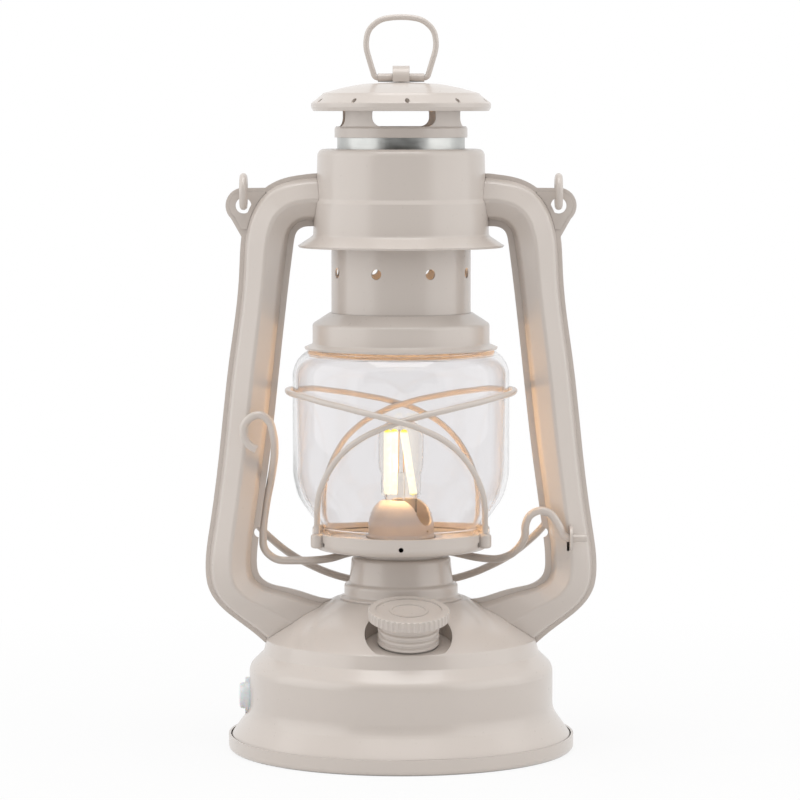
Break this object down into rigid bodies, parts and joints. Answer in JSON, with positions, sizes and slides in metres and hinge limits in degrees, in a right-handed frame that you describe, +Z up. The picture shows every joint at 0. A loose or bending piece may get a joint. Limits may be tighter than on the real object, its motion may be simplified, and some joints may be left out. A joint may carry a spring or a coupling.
{
  "type": "led lantern",
  "caption": "Battery storm lantern with a glass globe, wire guards, side tubes, lifting chimney, dimmer knob, globe lever, carrying bail and top ring.",
  "frame": {"origin": "centre of the ring that the base stands on, on the lantern's axis", "axes": "+Z up along the lantern's axis, -Y to the front with the dimmer knob, +X to the right seen from the front, where the lever's pivot is"},
  "size_m": [0.1494, 0.132, 0.2798],
  "materials": {
    "paint": "satin warm cream powder coat",
    "zinc": "galvanised, bare",
    "steel": "plated",
    "globe_glass": "clear",
    "bulb_glass": "clear",
    "filament": "lit warm white",
    "plug": "milky white silicone",
    "black_plastic": "moulded",
    "white_plastic": "moulded",
    "cell_wrap": "shrink wrap",
    "board": "solder mask"
  },
  "bodies": {
    "root": {"base_plate": "paint", "base_screws": "steel", "tank_shell": "paint", "battery_cradle": "black_plastic", "battery_cells": "cell_wrap", "circuit_board": "board", "usb_socket": "steel", "port_grommet": "plug", "dimmer_neck": "paint", "dimmer_body": "black_plastic", "burner_cone": "paint", "burner_dome": "paint", "bulb_socket": "white_plastic", "led_bulb": "bulb_glass", "bulb_stem": "bulb_glass", "led_filaments": "filament", "hood": "paint", "right_tube_front": "paint", "right_tube_rear": "paint", "left_tube_front": "paint", "left_tube_rear": "paint"},
    "globe_carriage": {"gallery": "paint", "globe_plate": "paint", "glass_globe": "globe_glass", "guard_wire_right": "paint", "guard_wire_left": "paint"},
    "chimney": {"globe_holder": "paint", "chimney_tube": "paint", "zinc_sleeve": "zinc", "cap_spider": "paint", "cap": "paint", "hinge_strap": "paint", "hinge_sleeve": "paint"},
    "top_ring": {"top_ring": "paint"},
    "lever": {"lift_lever": "paint"},
    "bail": {"bail": "paint"},
    "knob": {"dimmer_knob": "paint", "dimmer_shaft": "steel"},
    "port_plug": {"port_plug": "plug"}
  },
  "joints": [
    {"name": "bail_swing", "type": "hinge", "parent": "root", "child": "bail", "pos_m": [0, 0, 0.2128], "axis": [1, 0, 0], "range_deg": [0, 220]},
    {"name": "globe_lift", "type": "slide", "parent": "root", "child": "globe_carriage", "axis": [0, 0, 1], "range_m": [0, 0.0059]},
    {"name": "lever_rock", "type": "hinge", "parent": "root", "child": "lever", "pos_m": [0.06439, -0.0116, 0.0818], "axis": [0, 1, 0], "range_deg": [0, 5.3]},
    {"name": "chimney_lift", "type": "slide", "parent": "globe_carriage", "child": "chimney", "axis": [0, 0, 1], "range_m": [0, 0.015]},
    {"name": "top_ring_fold", "type": "hinge", "parent": "chimney", "child": "top_ring", "pos_m": [0, 0, 0.2559], "axis": [1, 0, 0], "range_deg": [-80, 80]},
    {"name": "dimmer_turn", "type": "hinge", "parent": "root", "child": "knob", "pos_m": [0.0027, -0.03866, 0.04528], "axis": [0.0151, -0.2159, 0.9763], "range_deg": [0, 300]},
    {"name": "port_plug_pull", "type": "slide", "parent": "root", "child": "port_plug", "axis": [-1, 0, 0], "range_m": [0, 0.012]}
  ],
  "couplings": [
    {"joint": "lever_rock", "follows": "globe_lift", "rad_per_m": 15.53}
  ]
}
